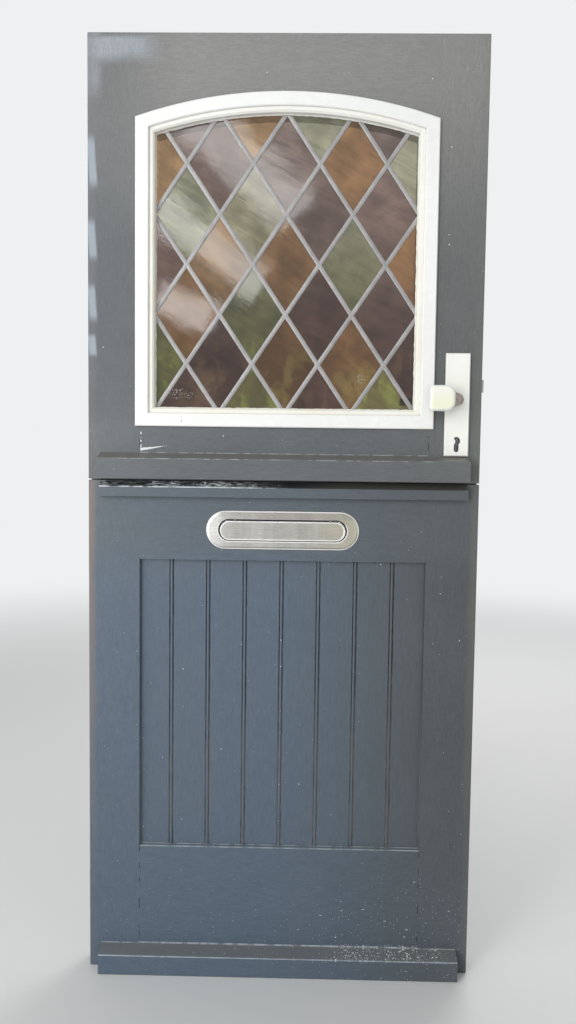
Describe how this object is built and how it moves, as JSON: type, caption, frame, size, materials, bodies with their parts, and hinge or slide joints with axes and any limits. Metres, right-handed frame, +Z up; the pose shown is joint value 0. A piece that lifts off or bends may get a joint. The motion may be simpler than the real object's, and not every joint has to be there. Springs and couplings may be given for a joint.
{
  "type": "dutch stable door",
  "caption": "Split timber stable door: arched leaded light, long lock plate and cranked knob above, letter plate and beaded board panel below, hung on butt hinges.",
  "frame": {"origin": "middle of the lower leaf's bottom face, halfway through its thickness", "axes": "+X from the hinge side to the lock side seen from outside, +Y from outside to inside, +Z up"},
  "size_m": [0.898, 0.1585, 2.115],
  "materials": {
    "upper_paint": "satin painted",
    "lower_paint": "satin painted",
    "white_paint": "gloss painted",
    "lead": "dull",
    "amber_glass": "streaky",
    "green_glass": "streaky",
    "purple_glass": "streaky",
    "satin_cream": "satin",
    "satin_steel": "brushed",
    "zinc_steel": "zinc plated",
    "black_iron": "satin black",
    "bright_rod": "bright"
  },
  "bodies": {
    "frame_side": {"frame_hinge_flaps": "zinc_steel", "hinge_pins": "zinc_steel"},
    "lower_leaf": {"lower_hinge_stile": "lower_paint", "lower_lock_stile": "lower_paint", "lower_top_rail": "lower_paint", "lower_bottom_rail": "lower_paint", "board_1": "lower_paint", "board_2": "lower_paint", "board_3": "lower_paint", "board_4": "lower_paint", "board_5": "lower_paint", "board_6": "lower_paint", "board_7": "lower_paint", "board_8": "lower_paint", "lower_drip_bar": "lower_paint", "meeting_bar": "lower_paint", "letter_plate": "satin_steel", "letter_inner_frame": "satin_steel", "flap_rod": "zinc_steel", "flap_spring": "zinc_steel", "lower_hinge_flaps": "zinc_steel", "door_bolt_base": "black_iron", "coupling_keep": "black_iron", "lower_screws": "zinc_steel"},
    "letter_flap": {"letter_flap": "satin_steel"},
    "door_bolt": {"door_bolt_rod": "bright_rod"},
    "upper_leaf": {"upper_hinge_stile": "upper_paint", "upper_lock_stile": "upper_paint", "upper_top_rail": "upper_paint", "upper_bottom_rail": "upper_paint", "upper_drip_bar": "upper_paint", "surround_left": "white_paint", "surround_right": "white_paint", "surround_arch": "white_paint", "surround_bottom": "white_paint", "glazing_bead_left": "white_paint", "glazing_bead_right": "white_paint", "glazing_bead_arch": "white_paint", "glazing_bead_bottom": "white_paint", "casing_left": "white_paint", "casing_right": "white_paint", "casing_arch": "white_paint", "casing_bottom": "white_paint", "lead_cames": "lead", "amber_glass": "amber_glass", "green_glass": "green_glass", "purple_glass": "purple_glass", "lock_case": "zinc_steel", "outer_plate": "satin_cream", "inner_plate": "satin_steel", "knob": "satin_cream", "upper_hinge_flaps": "zinc_steel", "coupling_bolt_base": "black_iron", "upper_screws": "zinc_steel"},
    "lever": {"lever_handle": "satin_steel", "spindle": "zinc_steel", "lock_follower": "zinc_steel"},
    "latch": {"latch_bolt": "zinc_steel"},
    "dead_bolt": {"dead_bolt": "zinc_steel"},
    "coupling_bolt": {"coupling_bolt_rod": "bright_rod"}
  },
  "joints": [
    {"name": "lower_leaf_swing", "type": "hinge", "parent": "frame_side", "child": "lower_leaf", "pos_m": [-0.4415, 0.034, 0], "axis": [0, 0, 1], "range_deg": [0, 90]},
    {"name": "upper_leaf_swing", "type": "hinge", "parent": "lower_leaf", "child": "upper_leaf", "pos_m": [-0.4415, 0.034, 0], "axis": [0, 0, 1], "range_deg": [0, 90]},
    {"name": "lever_turn", "type": "hinge", "parent": "upper_leaf", "child": "lever", "pos_m": [0.385, 0, 1.327], "axis": [0, -1, 0], "range_deg": [0, 40], "stiffness_Nm_per_rad": 0.5, "springref_deg": -34.38},
    {"name": "latch_slide", "type": "slide", "parent": "upper_leaf", "child": "latch", "axis": [-1, 0, 0], "range_m": [0, 0.01]},
    {"name": "dead_bolt_slide", "type": "slide", "parent": "upper_leaf", "child": "dead_bolt", "axis": [1, 0, 0], "range_m": [0, 0.02]},
    {"name": "coupling_bolt_slide", "type": "slide", "parent": "upper_leaf", "child": "coupling_bolt", "axis": [0, 0, -1], "range_m": [0, 0.028]},
    {"name": "door_bolt_slide", "type": "slide", "parent": "lower_leaf", "child": "door_bolt", "axis": [1, 0, 0], "range_m": [0, 0.028]},
    {"name": "flap_swing", "type": "hinge", "parent": "lower_leaf", "child": "letter_flap", "pos_m": [0, -0.022, 1.051], "axis": [1, 0, 0], "range_deg": [0, 80], "stiffness_Nm_per_rad": 0.02, "springref_deg": -91.67}
  ],
  "couplings": [
    {"joint": "latch_slide", "follows": "lever_turn", "m_per_rad": 0.01432}
  ]
}
